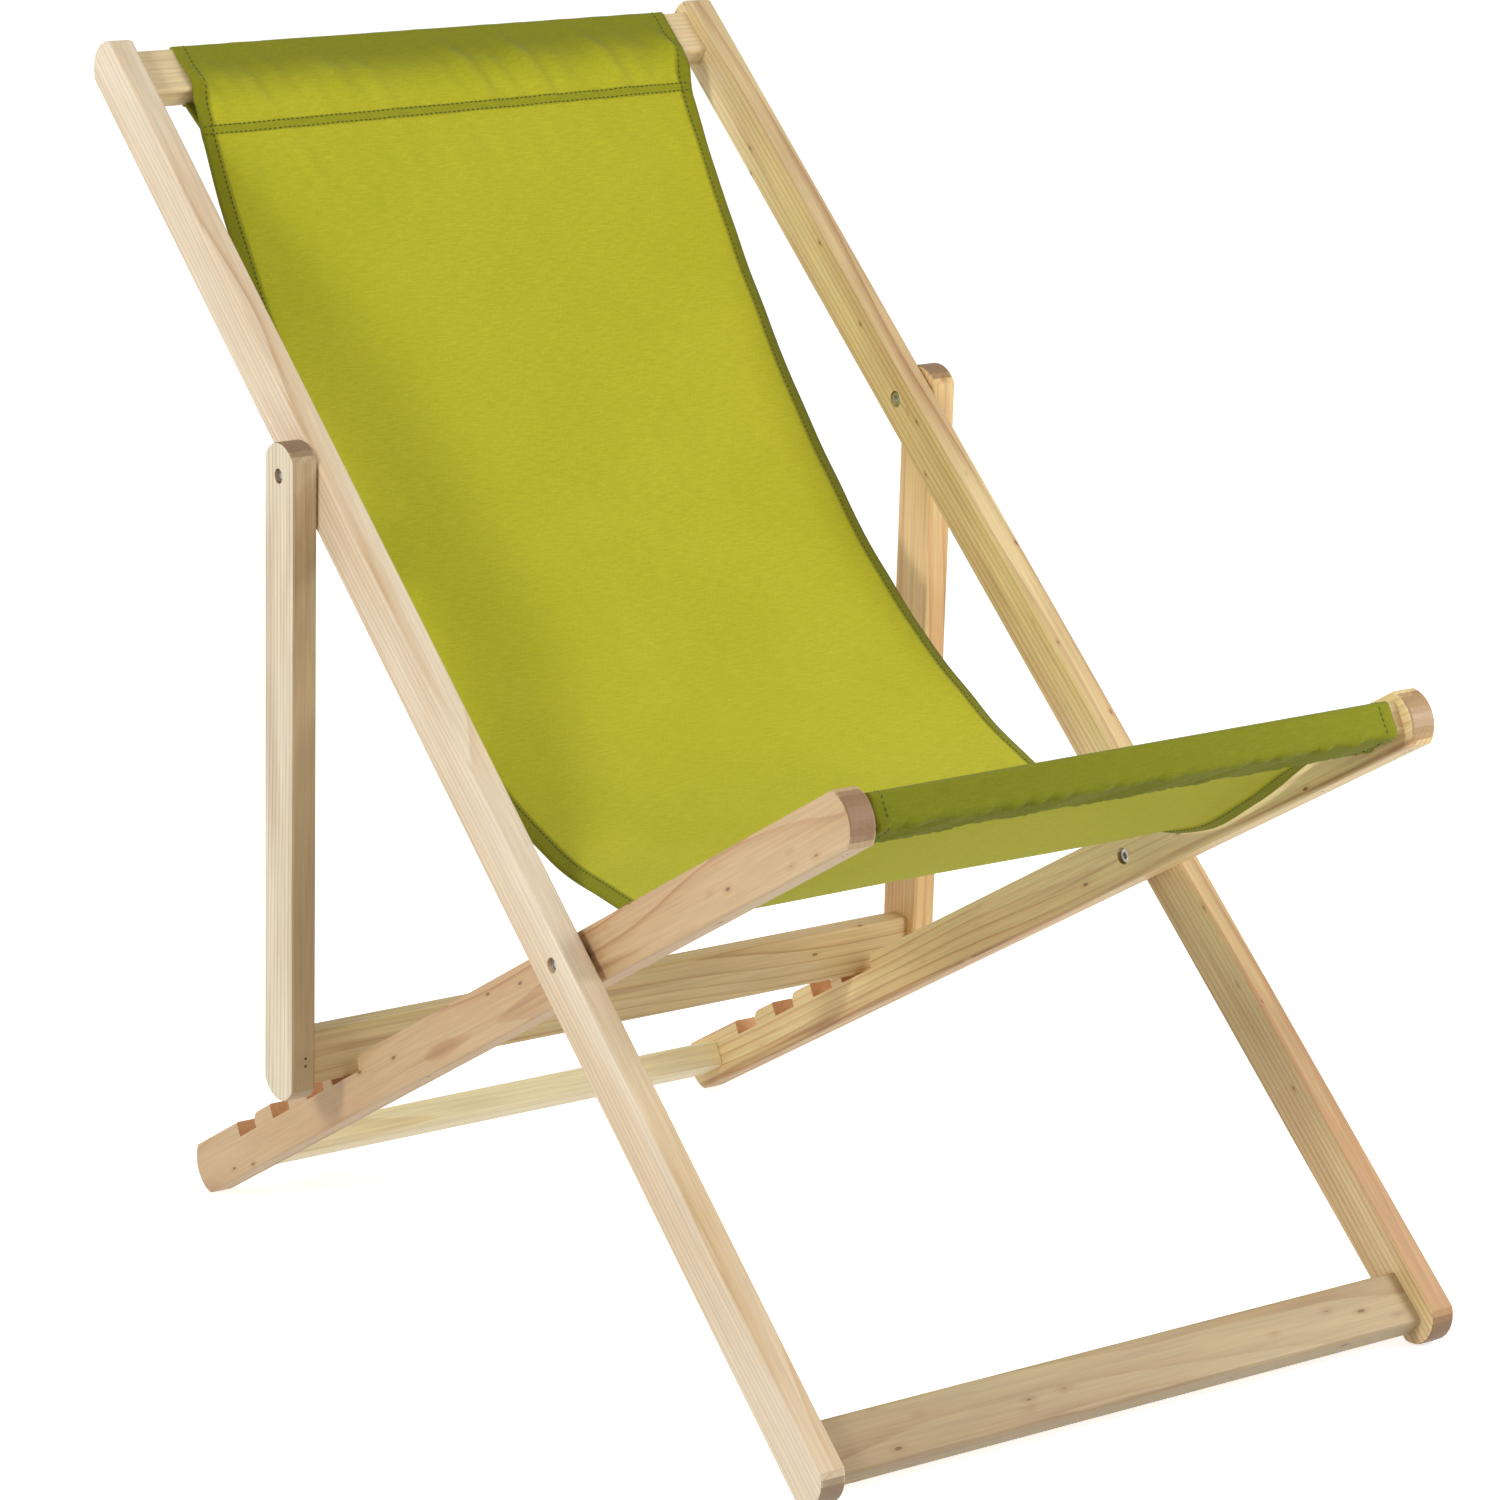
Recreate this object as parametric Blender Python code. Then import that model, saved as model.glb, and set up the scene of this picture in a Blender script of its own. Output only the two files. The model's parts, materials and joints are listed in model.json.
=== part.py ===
"""Folding deck chair: three hinged wooden frames and a fabric sling, set up in the lowest recline.

Metres, +Z up, floor at Z = 0, the sitter faces -Y. X = 0 is the middle plane, and the
origin is under the middle of the overall length.
"""
import math

import bmesh
import bpy
from mathutils import Vector

GAP = 0.0003  # clearance left between pieces that touch
PAST = 0.003  # how far a cutter runs past the faces it opens

# Side view: each frame has an a axis along its rails and a b axis square to it.
LONG_ANGLE = 44.2  # a runs up the back, b forwards and up
SEAT_ANGLE = -26.5  # a runs down to the rear, b up
PROP_ANGLE = -84.8  # a runs down the legs, b to the rear
PIVOT_HEIGHT = 0.3060
PIVOT_Y = -0.1504
PROP_PIVOT_A = 0.437
PIVOT_B = -0.003

# Rails: inner and outer face, and depth in side view
LONG_X = (0.2525, 0.2725)
LONG_B = (-0.0235, 0.0175)
LONG_TOP = 0.850
SEAT_X = (0.2240, 0.2450)
SEAT_B = (-0.020, 0.020)
SEAT_FRONT = -0.352
PROP_X = (0.2741, 0.2945)
PROP_B = (-0.0205, 0.0205)
PROP_A = (-0.0245, 0.4775)
END_RADIUS = 0.024  # every rail end is an arc about the rail's middle line
END_STEPS = 10
EASE = 0.0018  # rounded long edges of the rails

# Cross rails: (a low, a high, b low, b high)
TOP_RAIL = (0.797, 0.839, -0.014, 0.006)
FOOT_RAIL = (-0.413, -0.371, -0.017, 0.003)
FRONT_BAR = (-0.342, -0.302, -0.009, 0.013)
REAR_BAR = (0.606, 0.6455, -0.0095, 0.0135)
PROP_BAR = (0.4245, 0.4655, -0.012, 0.0074)
TENON_LENGTH = 0.014
TENON_INSET_A = 0.006
TENON_THICKNESS = 0.011

# Notches in the seat rails, from the rear: (rear wall, front wall)
NOTCHES = ((0.570, 0.540), (0.5085, 0.4785), (0.447, 0.417), (0.4015, 0.3552))
NOTCH_FLOOR_B = 0.0084
NOTCH_SHOULDER = 0.009

# Hardware: SINK is how far a bolt's head or tip, or a nut's two faces, lie below the rail's face
SHANK_R = 0.0030
BORE_R = 0.0033
HEAD_R = 0.0058
HEAD_HEIGHT = 0.0035
SOCKET_R = 0.0029
SOCKET_DEPTH = 0.0022
NUT_R = 0.0050
SPACER_R = 0.008
WASHER_R = 0.009
SEAT_HEAD_RECESS = 0.006
SEAT_HEAD_SINK = 0.0022
SEAT_TIP_SINK = 0.0030
SEAT_NUT_RECESS = 0.008
SEAT_NUT_SINK = (0.0077, 0.0028)
PROP_HEAD_RECESS = 0.0045
PROP_HEAD_SINK = 0.0006
PROP_TIP_SINK = 0.0025
PROP_NUT_RECESS = 0.007
PROP_NUT_SINK = (0.0067, 0.0023)
NAIL_R = 0.0009
NAIL_HOLE_R = 0.0012
NAIL_LENGTH = 0.022
NAIL_SINK = 0.001
NAIL_HOLE_TIP = 0.0005  # hole left beyond a nail's tip
PROP_NAILS = (0.4405, 0.4465)
PROP_NAIL_X = 0.2823
SEAT_NAILS = (-0.3275, -0.3215)
SEAT_NAIL_X = 0.2360

# Sling
SLING_TOP_X = (-0.2160, 0.2290)  # side edges at the top, a little off centre
SLING_SEAT_X = (-0.2185, 0.2165)  # side edges at the seat
SEAM = (0.7625, -0.0100)  # the top sleeve's seam, in the long rails' frame
SEAM_GAP = 0.0032
SHEET = 0.0010
HEM = 0.0018
HEM_WIDTH = 0.012
WRAP = 0.0012  # from a bar's face to the middle of the fabric
FLAP = 0.042  # sleeve flap beyond the bar
FLAP_B = (0.0025, -0.0020)  # sheet and flap at the front seam, in the seat rails' frame
SAG_POINT = (PIVOT_Y - 0.045, 0.342)  # lowest point of the sheet
LEAVE_ANGLE = 242  # direction of the sheet below the top seam
BACK_PULL = (0.285, 0.255)  # curve handles of the back, at the seam and at the lowest point
SEAT_RISE = -29.5  # direction of the sheet behind the front seam
SEAT_PULL = 0.080  # curve handles of the seat
EDGE_DRIFT = 0.8  # share of the length over which the side edges drift from top to seat


def side_frame(origin, degrees):
    """Return a function that turns (a, b) in a frame into (y, z)."""
    cos, sin = math.cos(math.radians(degrees)), math.sin(math.radians(degrees))

    def place(a, b):
        return origin[0] + a * cos - b * sin, origin[1] + a * sin + b * cos

    return place


LONG = side_frame((PIVOT_Y, PIVOT_HEIGHT), LONG_ANGLE)
SEAT = side_frame((PIVOT_Y, PIVOT_HEIGHT), SEAT_ANGLE)
PROP = side_frame(LONG(PROP_PIVOT_A, PIVOT_B), PROP_ANGLE)


def reach_to_floor(degrees, b_faces):
    """Length from the seat pivot to the tip of a rail whose arched end just touches the floor."""
    angle = math.radians(abs(degrees))
    middle, half = (b_faces[0] + b_faces[1]) / 2, (b_faces[1] - b_faces[0]) / 2
    lowest = min(math.pi / 2 - angle, math.asin(half / END_RADIUS))
    drop = PIVOT_HEIGHT + middle * math.cos(angle) - END_RADIUS * math.sin(angle + lowest)
    return drop / math.sin(angle) + END_RADIUS


def add_material(mesh, colour, roughness, metallic=0.0):
    mat = bpy.data.materials.new(mesh.name)
    mat.use_nodes = True
    shader = mat.node_tree.nodes["Principled BSDF"]
    shader.inputs["Base Color"].default_value = (*colour, 1.0)
    shader.inputs["Roughness"].default_value = roughness
    shader.inputs["Metallic"].default_value = metallic
    mat.diffuse_color = (*colour, 1.0)
    mesh.materials.append(mat)


def add_object(name, bm, look=None):
    bmesh.ops.recalc_face_normals(bm, faces=bm.faces)
    mesh = bpy.data.meshes.new(name)
    bm.to_mesh(mesh)
    bm.free()
    obj = bpy.data.objects.new(name, mesh)
    bpy.context.scene.collection.objects.link(obj)
    if look is not None:
        add_material(mesh, *look)
    return obj


def loft(name, rings, look=None):
    """Close a solid over rings of points that all have the same count."""
    bm = bmesh.new()
    loops = [[bm.verts.new(point) for point in ring] for ring in rings]
    for low, high in zip(loops, loops[1:]):
        for i in range(len(low)):
            j = (i + 1) % len(low)
            bm.faces.new((low[i], low[j], high[j], high[i]))
    bm.faces.new(loops[0])
    bm.faces.new(loops[-1])
    return add_object(name, bm, look)


def rounded_outline(a0, a1, b0, b1, radii, steps=5):
    """Rectangle with a radius at each corner, from (a0, b0) round by (a1, b0)."""
    points = []
    corners = ((a0, b0, 1, 1, 180), (a1, b0, -1, 1, 270), (a1, b1, -1, -1, 0), (a0, b1, 1, -1, 90))
    for (a, b, da, db, start), radius in zip(corners, radii):
        for k in range(steps + 1):
            angle = math.radians(start + 90 * k / steps)
            points.append((
                a + radius * (da + math.cos(angle)),
                b + radius * (db + math.sin(angle)),
            ))
    return points


def ring_at(place, x, outline):
    return [Vector((x, *place(a, b))) for a, b in outline]


def arched_outline(a0, a1, b0, b1, radius):
    """Side view of a rail: straight edges, and an arc about the middle line at each end."""
    middle = (b0 + b1) / 2
    half_angle = math.asin((b1 - b0) / 2 / radius)
    points = []
    for tip, direction in ((a1, 1), (a0, -1)):
        for k in range(END_STEPS + 1):
            angle = half_angle * (2 * k / END_STEPS - 1)
            points.append((
                tip + direction * radius * (math.cos(angle) - 1),
                middle + direction * radius * math.sin(angle),
            ))
    return points


def add_rail(name, place, side, x_faces, a_ends, b_faces, look):
    """A rail across X with arched ends and eased edges."""
    rings = []
    for face, direction in ((x_faces[0], 1), (x_faces[1], -1)):
        eased = []
        for k in range(3):
            angle = math.radians(45 * k)
            inset = EASE * (1 - math.sin(angle))
            x = face + direction * EASE * (1 - math.cos(angle))
            outline = arched_outline(
                a_ends[0] + inset, a_ends[1] - inset, b_faces[0] + inset, b_faces[1] - inset,
                END_RADIUS - inset,
            )
            eased.append(ring_at(place, side * x, outline))
        rings += eased if direction == 1 else eased[::-1]
    return loft(name, rings, look)


def tenon_box(section):
    a0, a1, b0, b1 = section
    middle = (b0 + b1) / 2
    return (
        a0 + TENON_INSET_A, a1 - TENON_INSET_A,
        middle - TENON_THICKNESS / 2, middle + TENON_THICKNESS / 2,
    )


def add_cross_rail(name, place, section, half, radius, look):
    """A rail between two side rails, with a tenon on each end."""
    body = rounded_outline(*section, [radius] * 4, 4)
    tenon = rounded_outline(*tenon_box(section), [0.001] * 4, 4)
    shoulder = half - GAP
    tip = half + TENON_LENGTH
    rings = [
        ring_at(place, x, outline)
        for x, outline in (
            (-tip, tenon), (-shoulder, tenon), (-shoulder, body),
            (shoulder, body), (shoulder, tenon), (tip, tenon),
        )
    ]
    return loft(name, rings, look)


def cutter_box(place, side, x0, x1, section):
    outline = rounded_outline(*section, [0.0008] * 4, 1)
    return loft("cutter", [ring_at(place, side * x0, outline), ring_at(place, side * x1, outline)])


def mortise(place, side, inner_face, section):
    a0, a1, b0, b1 = tenon_box(section)
    grown = (a0 - GAP, a1 + GAP, b0 - GAP, b1 + GAP)
    return cutter_box(place, side, inner_face - PAST, inner_face + TENON_LENGTH + GAP, grown)


def circle(centre, radius, count=24):
    y, z = centre
    steps = [2 * math.pi * k / count for k in range(count)]
    return [(y + radius * math.cos(t), z + radius * math.sin(t)) for t in steps]


def turned(name, side, centre, profile, look=None, count=24):
    """A solid of revolution about an X line, from (x, radius) pairs."""
    rings = [[Vector((side * x, *p)) for p in circle(centre, r, count)] for x, r in profile]
    return loft(name, rings, look)


def bore(side, centre, radius, x0, x1, count=24):
    return turned("cutter", side, centre, ((x0, radius), (x1, radius)), None, count)


def rod_between(name, start, end, radius, look=None, count=12):
    """A round rod from start to end."""
    start, end = Vector(start), Vector(end)
    axis = (end - start).normalized()
    across = axis.cross(Vector((1, 0, 0))).normalized()
    other = axis.cross(across)
    rings = []
    for centre in (start, end):
        rings.append([
            centre + radius * (math.cos(t) * across + math.sin(t) * other)
            for t in (2 * math.pi * k / count for k in range(count))
        ])
    return loft(name, rings, look)


def cut(target, cutters):
    for cutter in cutters:
        cutter.hide_render = True
        cutter.display_type = "WIRE"
        modifier = target.modifiers.new("cut", "BOOLEAN")
        modifier.operation = "DIFFERENCE"
        modifier.solver = "EXACT"
        modifier.object = cutter
        with bpy.context.temp_override(object=target, active_object=target, selected_objects=[target]):
            bpy.ops.object.modifier_apply(modifier=modifier.name)
        bpy.data.objects.remove(cutter)
    return target


def notch_cutter(side, rear, front):
    """Square rear wall, flat floor, and a front wall with a rounded shoulder."""
    top = SEAT_B[1]
    outline = [(rear, top + PAST), (rear, NOTCH_FLOOR_B), (front, NOTCH_FLOOR_B)]
    for k in range(7):
        angle = math.radians(90 * k / 6)
        outline.append((
            front - NOTCH_SHOULDER * (1 - math.cos(angle)),
            top - NOTCH_SHOULDER * (1 - math.sin(angle)),
        ))
    outline.append((front - NOTCH_SHOULDER, top + PAST))
    x0, x1 = SEAT_X[0] - PAST, SEAT_X[1] + PAST
    return loft("cutter", [ring_at(SEAT, side * x0, outline), ring_at(SEAT, side * x1, outline)])


# Nails in pairs: frame, positions along the rail, narrow face they are driven into, place across X
PROP_NAILING = (PROP, PROP_NAILS, PROP_B[0], PROP_NAIL_X)
SEAT_NAILING = (SEAT, SEAT_NAILS, SEAT_B[0], SEAT_NAIL_X)


def nail_lines(nailing, side, start, end):
    """End points of each nail; start and end are depths below the face."""
    place, positions, face, x = nailing
    return [
        (Vector((side * x, *place(a, face + start))), Vector((side * x, *place(a, face + end))))
        for a in positions
    ]


def nail_holes(nailing, side):
    lines = nail_lines(nailing, side, -PAST, NAIL_SINK + NAIL_LENGTH + NAIL_HOLE_TIP)
    return [rod_between("cutter", *line, NAIL_HOLE_R) for line in lines]


def add_nails(prefix, nailing, side, look):
    lines = nail_lines(nailing, side, NAIL_SINK, NAIL_SINK + NAIL_LENGTH)
    for label, line in zip(("a", "b"), lines):
        rod_between(prefix + label, *line, NAIL_R, look)


def build_long_rail(name, side, look):
    reach = reach_to_floor(LONG_ANGLE, LONG_B)
    rail = add_rail(name, LONG, side, LONG_X, (-reach, LONG_TOP), LONG_B, look)
    seat_pivot = LONG(0, 0)
    prop_pivot = LONG(PROP_PIVOT_A, PIVOT_B)
    through = (LONG_X[0] - PAST, LONG_X[1] + PAST)
    return cut(rail, [
        mortise(LONG, side, LONG_X[0], TOP_RAIL),
        mortise(LONG, side, LONG_X[0], FOOT_RAIL),
        bore(side, seat_pivot, BORE_R, *through),
        bore(side, seat_pivot, NUT_R + 2 * GAP, LONG_X[1] - SEAT_NUT_RECESS, LONG_X[1] + PAST),
        bore(side, prop_pivot, BORE_R, *through),
        bore(side, prop_pivot, HEAD_R + 2 * GAP, LONG_X[0] - PAST, LONG_X[0] + PROP_HEAD_RECESS),
    ])


def build_seat_rail(name, side, look):
    reach = reach_to_floor(SEAT_ANGLE, SEAT_B)
    rail = add_rail(name, SEAT, side, SEAT_X, (SEAT_FRONT, reach), SEAT_B, look)
    pivot = SEAT(0, 0)
    return cut(rail, [
        *[notch_cutter(side, rear, front) for rear, front in NOTCHES],
        mortise(SEAT, side, SEAT_X[0], FRONT_BAR),
        mortise(SEAT, side, SEAT_X[0], REAR_BAR),
        bore(side, pivot, BORE_R, SEAT_X[0] - PAST, SEAT_X[1] + PAST),
        bore(side, pivot, HEAD_R + 2 * GAP, SEAT_X[0] - PAST, SEAT_X[0] + SEAT_HEAD_RECESS),
        *nail_holes(SEAT_NAILING, side),
    ])


def build_prop_leg(name, side, look):
    leg = add_rail(name, PROP, side, PROP_X, PROP_A, PROP_B, look)
    pivot = PROP(0, 0)
    return cut(leg, [
        mortise(PROP, side, PROP_X[0], PROP_BAR),
        bore(side, pivot, BORE_R, PROP_X[0] - PAST, PROP_X[1] + PAST),
        bore(side, pivot, NUT_R + 2 * GAP, PROP_X[1] - PROP_NUT_RECESS, PROP_X[1] + PAST),
        *nail_holes(PROP_NAILING, side),
    ])


def build_bolt(name, side, centre, head_x, tip_x, look):
    """Button-edged head with a hex socket, then a plain shank."""
    rim = 0.0007
    chamfer = 0.0005
    profile = (
        (head_x, HEAD_R - rim), (head_x + rim, HEAD_R), (head_x + HEAD_HEIGHT, HEAD_R),
        (head_x + HEAD_HEIGHT, SHANK_R), (tip_x - chamfer, SHANK_R), (tip_x, SHANK_R - chamfer),
    )
    bolt = turned(name, side, centre, profile, look)
    return cut(bolt, [bore(side, centre, SOCKET_R, head_x - PAST, head_x + SOCKET_DEPTH, 6)])


def build_ring(name, side, centre, x0, x1, outer, inner, look):
    """A washer or nut: a short tube with chamfered outer edges."""
    rim = 0.0003
    profile = ((x0, outer - rim), (x0 + rim, outer), (x1 - rim, outer), (x1, outer - rim))
    ring = turned(name, side, centre, profile, look)
    return cut(ring, [bore(side, centre, inner, x0 - PAST, x1 + PAST)])


def build_pivots(label, side, steel, dark):
    seat = SEAT(0, 0)
    prop = PROP(0, 0)
    seat_nut = [LONG_X[1] - sink for sink in SEAT_NUT_SINK]
    prop_nut = [PROP_X[1] - sink for sink in PROP_NUT_SINK]
    between_seat = (SEAT_X[1] + GAP, LONG_X[0] - GAP)
    between_prop = (LONG_X[1] + GAP, PROP_X[0] - GAP)
    build_bolt(label + "_seat_bolt", side, seat, SEAT_X[0] + SEAT_HEAD_SINK, LONG_X[1] - SEAT_TIP_SINK, steel)
    build_ring(label + "_seat_spacer", side, seat, *between_seat, SPACER_R, BORE_R, dark)
    build_ring(label + "_seat_nut", side, seat, *seat_nut, NUT_R, BORE_R, steel)
    build_bolt(label + "_prop_bolt", side, prop, LONG_X[0] + PROP_HEAD_SINK, PROP_X[1] - PROP_TIP_SINK, steel)
    build_ring(label + "_prop_washer", side, prop, *between_prop, WASHER_R, BORE_R, dark)
    build_ring(label + "_prop_nut", side, prop, *prop_nut, NUT_R, BORE_R, steel)


def bezier(p0, p1, p2, p3, count):
    points = []
    for k in range(count + 1):
        t = k / count
        weights = ((1 - t) ** 3, 3 * (1 - t) ** 2 * t, 3 * (1 - t) * t * t, t ** 3)
        points.append(tuple(
            sum(w * p[axis] for w, p in zip(weights, (p0, p1, p2, p3))) for axis in (0, 1)
        ))
    return points


def toward(point, degrees, distance):
    angle = math.radians(degrees)
    return point[0] + distance * math.cos(angle), point[1] + distance * math.sin(angle)


def bar_turn(place, a, b, start, end, steps=4):
    """Fabric path round one corner of a bar; a and b are the corner, angles are in the frame."""
    radius = 0.003
    inner_a = a - radius * (1 if math.cos(math.radians((start + end) / 2)) > 0 else -1)
    inner_b = b - radius * (1 if math.sin(math.radians((start + end) / 2)) > 0 else -1)
    points = []
    for k in range(steps + 1):
        angle = math.radians(start + (end - start) * k / steps)
        points.append(place(
            inner_a + (radius + WRAP) * math.cos(angle),
            inner_b + (radius + WRAP) * math.sin(angle),
        ))
    return points


def sling_path():
    """Middle line of the fabric: rear flap, top sleeve, sheet, front sleeve, front flap."""
    a0, a1, b0, b1 = TOP_RAIL
    path = [LONG(SEAM[0], SEAM[1] - SEAM_GAP)]
    path += bar_turn(LONG, a0, b0, 200, 270)
    path += bar_turn(LONG, a1, b0, 270, 360)
    path += bar_turn(LONG, a1, b1, 0, 90)
    path += bar_turn(LONG, a0, b1, 90, 118, 2)
    seam = LONG(*SEAM)
    front_seam = SEAT(FRONT_BAR[1] + FLAP, FLAP_B[0])
    path += bezier(
        seam, toward(seam, LEAVE_ANGLE, BACK_PULL[0]),
        (SAG_POINT[0] + BACK_PULL[1], SAG_POINT[1]), SAG_POINT, 40,
    )
    path += bezier(
        SAG_POINT, (SAG_POINT[0] - SEAT_PULL, SAG_POINT[1]),
        toward(front_seam, SEAT_RISE, SEAT_PULL), front_seam, 16,
    )[1:]
    a0, a1, b0, b1 = FRONT_BAR
    path += bar_turn(SEAT, a1, b1, 74, 90, 2)
    path += bar_turn(SEAT, a0, b1, 90, 180)
    path += bar_turn(SEAT, a0, b0, 180, 270)
    path += bar_turn(SEAT, a1, b0, 270, 286, 2)
    path.append(SEAT(FRONT_BAR[1] + FLAP, FLAP_B[1]))
    return path


def offset_line(path, distance):
    """Move a line sideways by distance, to the left of its direction."""
    moved = []
    for i, point in enumerate(path):
        before = path[max(i - 1, 0)]
        after = path[min(i + 1, len(path) - 1)]
        dy, dz = after[0] - before[0], after[1] - before[1]
        length = math.hypot(dy, dz)
        moved.append((point[0] - dz / length * distance, point[1] + dy / length * distance))
    return moved


def build_sling(look):
    """One ribbon of cloth with thicker side hems, swept across X."""
    path = sling_path()
    lengths = [0.0]
    for p, q in zip(path, path[1:]):
        lengths.append(lengths[-1] + math.hypot(q[0] - p[0], q[1] - p[1]))
    shares = [min(1.0, s / (EDGE_DRIFT * lengths[-1])) for s in lengths]
    edges = [
        [top + (seat - top) * share for share in shares] for top, seat in zip(SLING_TOP_X, SLING_SEAT_X)
    ]
    columns = (
        (0, 0.0, HEM), (0, HEM_WIDTH, HEM), (0, HEM_WIDTH + 0.001, SHEET),
        (1, -HEM_WIDTH - 0.001, SHEET), (1, -HEM_WIDTH, HEM), (1, 0.0, HEM),
    )
    bm = bmesh.new()
    grids = []
    for edge, inward, thickness in columns:
        sides = []
        for sign in (1, -1):
            line = offset_line(path, sign * thickness / 2)
            sides.append([bm.verts.new((x + inward, *p)) for x, p in zip(edges[edge], line)])
        grids.append(sides)
    count = len(path)
    for low, high in zip(grids, grids[1:]):
        for k in (0, 1):
            for i in range(count - 1):
                bm.faces.new((low[k][i], low[k][i + 1], high[k][i + 1], high[k][i]))
        for i in (0, count - 1):
            bm.faces.new((low[0][i], high[0][i], high[1][i], low[1][i]))
    for sides in (grids[0], grids[-1]):
        for i in range(count - 1):
            bm.faces.new((sides[0][i], sides[0][i + 1], sides[1][i + 1], sides[1][i]))
    return add_object("sling", bm, look)


def set_origin(obj, point):
    """Put an object's origin on a point without moving its shape."""
    shift = Vector(point)
    for vertex in obj.data.vertices:
        vertex.co -= shift
    obj.location = shift


def build_chair():
    pale = ((0.76, 0.63, 0.47), 0.5)
    warm = ((0.70, 0.50, 0.32), 0.5)
    honey = ((0.68, 0.52, 0.30), 0.5)
    steel = ((0.62, 0.62, 0.62), 0.32, 1.0)
    dark = ((0.32, 0.32, 0.33), 0.45, 1.0)
    nail = ((0.12, 0.10, 0.09), 0.5, 1.0)
    lime = ((0.45, 0.44, 0.035), 0.9)
    for label, side in (("left", -1), ("right", 1)):
        build_long_rail(label + "_long_rail", side, pale)
        build_seat_rail(label + "_seat_rail", side, warm)
        build_prop_leg(label + "_prop_leg", side, pale)
        build_pivots(label, side, steel, dark)
        add_nails(label + "_prop_nail_", PROP_NAILING, side, nail)
        add_nails(label + "_seat_nail_", SEAT_NAILING, side, nail)
    add_cross_rail("top_cross_rail", LONG, TOP_RAIL, LONG_X[0], 0.003, honey)
    add_cross_rail("foot_cross_rail", LONG, FOOT_RAIL, LONG_X[0], 0.003, honey)
    front = add_cross_rail("front_sling_bar", SEAT, FRONT_BAR, SEAT_X[0], 0.003, honey)
    add_cross_rail("rear_floor_bar", SEAT, REAR_BAR, SEAT_X[0], 0.006, honey)
    prop_bar = add_cross_rail("prop_cross_bar", PROP, PROP_BAR, PROP_X[0], 0.0025, honey)
    for side in (-1, 1):
        cut(front, nail_holes(SEAT_NAILING, side))
        cut(prop_bar, nail_holes(PROP_NAILING, side))
    build_sling(lime)


def place_origins():
    """Moving pieces turn about their pivot lines."""
    for obj in bpy.data.objects:
        if "prop" in obj.name:
            set_origin(obj, (0, *PROP(0, 0)))
        elif "seat" in obj.name or "_bar" in obj.name:
            set_origin(obj, (0, *SEAT(0, 0)))


for old in list(bpy.data.objects):
    bpy.data.objects.remove(old, do_unlink=True)
build_chair()
place_origins()
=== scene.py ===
"""Looks for the folding deck chair: camera, studio, wood, steel and the fabric sling.

Metres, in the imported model's frame. In side view each frame of rails has an a axis along
its rails and a b axis square to it.
"""

import json
import math

import bmesh
import bpy
import numpy as np
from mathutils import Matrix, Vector, noise


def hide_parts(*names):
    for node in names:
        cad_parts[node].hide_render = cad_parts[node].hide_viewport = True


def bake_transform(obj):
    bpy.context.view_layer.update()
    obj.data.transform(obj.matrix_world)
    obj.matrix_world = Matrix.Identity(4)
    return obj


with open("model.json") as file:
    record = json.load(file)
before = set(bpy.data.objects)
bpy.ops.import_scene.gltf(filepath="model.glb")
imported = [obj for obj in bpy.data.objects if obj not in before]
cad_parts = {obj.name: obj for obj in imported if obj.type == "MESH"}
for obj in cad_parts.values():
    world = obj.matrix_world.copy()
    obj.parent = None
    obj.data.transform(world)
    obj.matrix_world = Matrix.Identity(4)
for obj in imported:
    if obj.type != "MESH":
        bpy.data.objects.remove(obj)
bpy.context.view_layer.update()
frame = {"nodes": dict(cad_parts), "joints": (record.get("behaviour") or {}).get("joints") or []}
nodes = frame["nodes"]

# Camera at the photograph's viewing angle
CAMERA_AT = (-2.0343, -3.0066, 1.1834)
CAMERA_TURN = (77.7107, 1.3487, -34.3348)  # degrees
CAMERA_LENS = 121.72
STAGE_RADIUS = 38.0

# Directions of the rails in side view, in degrees
LONG_ANGLE = 44.2
SEAT_ANGLE = -26.5
PROP_ANGLE = -84.8

# Sling: side edges as (length from the top seam, x)
LEFT_EDGE = ((0.0, -0.2160), (0.12, -0.2160), (0.75, -0.2195), (1.45, -0.2185))
RIGHT_EDGE = (
    (0.0, 0.2293), (0.12, 0.2288), (0.30, 0.2263),
    (0.50, 0.2215), (0.68, 0.2155), (1.45, 0.2166),
)
SEAM = (0.7625, -0.0100)  # top sleeve's seam, in the long rails' frame
SEAM_BAND = 0.0085
SEAM_LAP = (0.0010, 0.0016)  # how far the top flap's end lies behind the seam
SLEEVE_OPENING = 7.0  # angle between the top flap and the sheet
SEAM_RISE = 0.0045  # how much higher the seam ends at the right edge
LEAVE_ANGLE = 242.0  # the sheet's direction where it leaves the top sleeve's seam
BACK_PULL = (0.285, 0.255)  # curve handles of the back, at the seam and at the lowest point
SAG_BEHIND_PIVOT = -0.045
SAG_HEIGHT = 0.342
SEAT_PULL = 0.080  # curve handles of the seat
SEAT_RISE = SEAT_ANGLE - 3.0  # the sheet's direction where it meets the front flap
WRAP = 0.0012  # from a bar's face to the middle of the fabric
BAR_CORNER = 0.003
FLAP = 0.042  # sleeve flap beyond the front bar
SHEET_END_HEIGHT = 0.0025  # above the seat rails' axis, at the flap's end
FLAP_END_HEIGHT = 0.0005
HALF_SHEET = 0.0005
HEM_WIDTH = 0.012
HEM_EXTRA = 0.0013
STEP_ALONG = 0.0045
STEP_ACROSS = 0.0040
SEAM_STEP = 0.0010
NEAR_SEAM = 0.002  # steps ending this close to the seam use SEAM_STEP

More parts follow.
